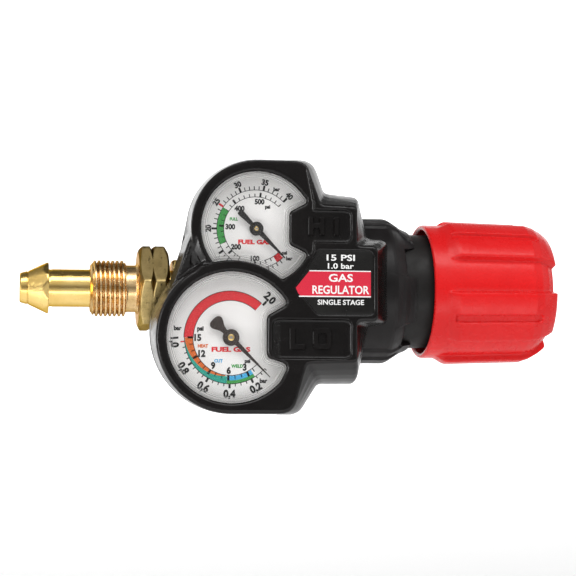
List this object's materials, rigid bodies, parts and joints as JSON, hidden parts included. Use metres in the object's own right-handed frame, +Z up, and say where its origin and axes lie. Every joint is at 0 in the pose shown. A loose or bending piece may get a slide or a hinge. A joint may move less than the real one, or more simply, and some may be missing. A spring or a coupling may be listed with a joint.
{
  "type": "gas pressure regulator",
  "caption": "Single-stage fuel-gas regulator: threaded inlet nut and nipple, black housing with two dial gauges, ribbed adjusting knob, rear outlet.",
  "frame": {"origin": "tip of the inlet nipple, on the main axis", "axes": "+X along the main axis towards the adjusting knob, -Y the way the gauges face, +Z up"},
  "size_m": [0.2158, 0.094, 0.1012],
  "materials": {
    "brass": "satin",
    "steel": "brushed",
    "bronze": "rough sintered",
    "black_plastic": "semi-gloss",
    "black_metal": "satin black",
    "red_plastic": "gloss",
    "clear_plastic": "clear",
    "white_enamel": "printed",
    "rubber": "matte",
    "label_print": "printed film",
    "pointer_black": "matte"
  },
  "bodies": {
    "regulator": {"inlet_nipple": "brass", "inlet_filter": "bronze", "regulator_body": "brass", "seat_nozzle": "brass", "diaphragm": "rubber", "slip_ring": "steel", "poppet_spring": "steel", "range_spring": "steel", "bonnet": "black_metal", "outlet_fitting": "brass", "relief_valve_body": "brass", "relief_spring": "steel", "relief_plug": "brass", "housing_front": "black_plastic", "housing_rear": "black_plastic", "bonnet_shroud": "black_plastic", "label": "label_print", "housing_screw_1": "steel", "housing_screw_2": "steel", "housing_screw_3": "steel", "housing_screw_4": "steel", "low_movement_front_plate": "brass", "low_movement_back_plate": "brass", "low_hairspring": "steel", "low_bourdon_tube": "brass", "low_gauge_socket": "brass", "low_dial": "white_enamel", "low_lens": "clear_plastic", "high_movement_front_plate": "brass", "high_movement_back_plate": "brass", "high_hairspring": "steel", "high_bourdon_tube": "brass", "high_gauge_socket": "brass", "high_dial": "white_enamel", "high_lens": "clear_plastic"},
    "inlet_nut": {"inlet_nut": "brass"},
    "screw_carriage": {"upper_spring_button": "steel"},
    "knob": {"knob": "red_plastic", "knob_cap": "red_plastic", "adjusting_screw": "steel"},
    "diaphragm_stack": {"diaphragm_plate": "steel", "lower_spring_button": "steel"},
    "valve": {"valve_poppet": "steel"},
    "relief_valve": {"relief_poppet": "rubber"},
    "low_sector": {"low_sector_gear": "brass"},
    "low_hand": {"low_pointer": "pointer_black", "low_pinion_arbor": "steel"},
    "low_linkage": {"low_link": "brass", "low_tube_tip": "brass"},
    "high_sector": {"high_sector_gear": "brass"},
    "high_hand": {"high_pointer": "pointer_black", "high_pinion_arbor": "steel"},
    "high_linkage": {"high_link": "brass", "high_tube_tip": "brass"}
  },
  "joints": [
    {"name": "inlet_nut_spin", "type": "hinge", "parent": "regulator", "child": "inlet_nut", "pos_m": [0.0278, 0, 0], "axis": [-1, 0, 0], "continuous": true},
    {"name": "knob_turn", "type": "hinge", "parent": "screw_carriage", "child": "knob", "pos_m": [0.1629, 0, 0], "axis": [-1, 0, 0], "range_deg": [0, 1440]},
    {"name": "screw_advance", "type": "slide", "parent": "regulator", "child": "screw_carriage", "axis": [-1, 0, 0], "range_m": [0, 0.006], "deforming": ["range_spring"]},
    {"name": "diaphragm_stroke", "type": "slide", "parent": "regulator", "child": "diaphragm_stack", "axis": [-1, 0, 0], "range_m": [0, 0.0008], "stiffness_N_per_m": 400, "deforming": ["diaphragm", "poppet_spring"]},
    {"name": "valve_stroke", "type": "slide", "parent": "regulator", "child": "valve", "axis": [-1, 0, 0], "range_m": [0, 0.0008]},
    {"name": "relief_lift", "type": "slide", "parent": "regulator", "child": "relief_valve", "axis": [0, 1, 0], "range_m": [0, 0.001], "stiffness_N_per_m": 1500, "springref_m": -0.001, "deforming": ["relief_spring"]},
    {"name": "low_sector_swing", "type": "hinge", "parent": "regulator", "child": "low_sector", "pos_m": [0.08, -0.0318, -0.0318], "axis": [0, -1, 0], "range_deg": [0, 45], "stiffness_Nm_per_rad": 0.004, "deforming": ["low_bourdon_tube", "low_hairspring"]},
    {"name": "low_pointer_turn", "type": "hinge", "parent": "regulator", "child": "low_hand", "pos_m": [0.08, -0.0374, -0.0206], "axis": [0, 1, 0], "range_deg": [0, 270]},
    {"name": "low_link_slide", "type": "slide", "parent": "regulator", "child": "low_linkage", "axis": [0.8949, 0, 0.4462], "range_m": [0, 0.00191]},
    {"name": "high_sector_swing", "type": "hinge", "parent": "regulator", "child": "high_sector", "pos_m": [0.09, -0.0303, 0.0103], "axis": [0, -1, 0], "range_deg": [0, 45], "stiffness_Nm_per_rad": 0.004, "deforming": ["high_bourdon_tube", "high_hairspring"]},
    {"name": "high_pointer_turn", "type": "hinge", "parent": "regulator", "child": "high_hand", "pos_m": [0.09, -0.0359, 0.0215], "axis": [0, 1, 0], "range_deg": [0, 270]},
    {"name": "high_link_slide", "type": "slide", "parent": "regulator", "child": "high_linkage", "axis": [0.8949, 0, 0.4462], "range_m": [0, 0.00191]}
  ],
  "couplings": [
    {"joint": "screw_advance", "follows": "knob_turn", "m_per_rad": 0.00023873},
    {"joint": "valve_stroke", "follows": "diaphragm_stroke", "ratio": 1},
    {"joint": "low_pointer_turn", "follows": "low_sector_swing", "ratio": 6},
    {"joint": "low_link_slide", "follows": "low_sector_swing", "m_per_rad": 0.0024362},
    {"joint": "high_pointer_turn", "follows": "high_sector_swing", "ratio": 6},
    {"joint": "high_link_slide", "follows": "high_sector_swing", "m_per_rad": 0.0024362}
  ]
}
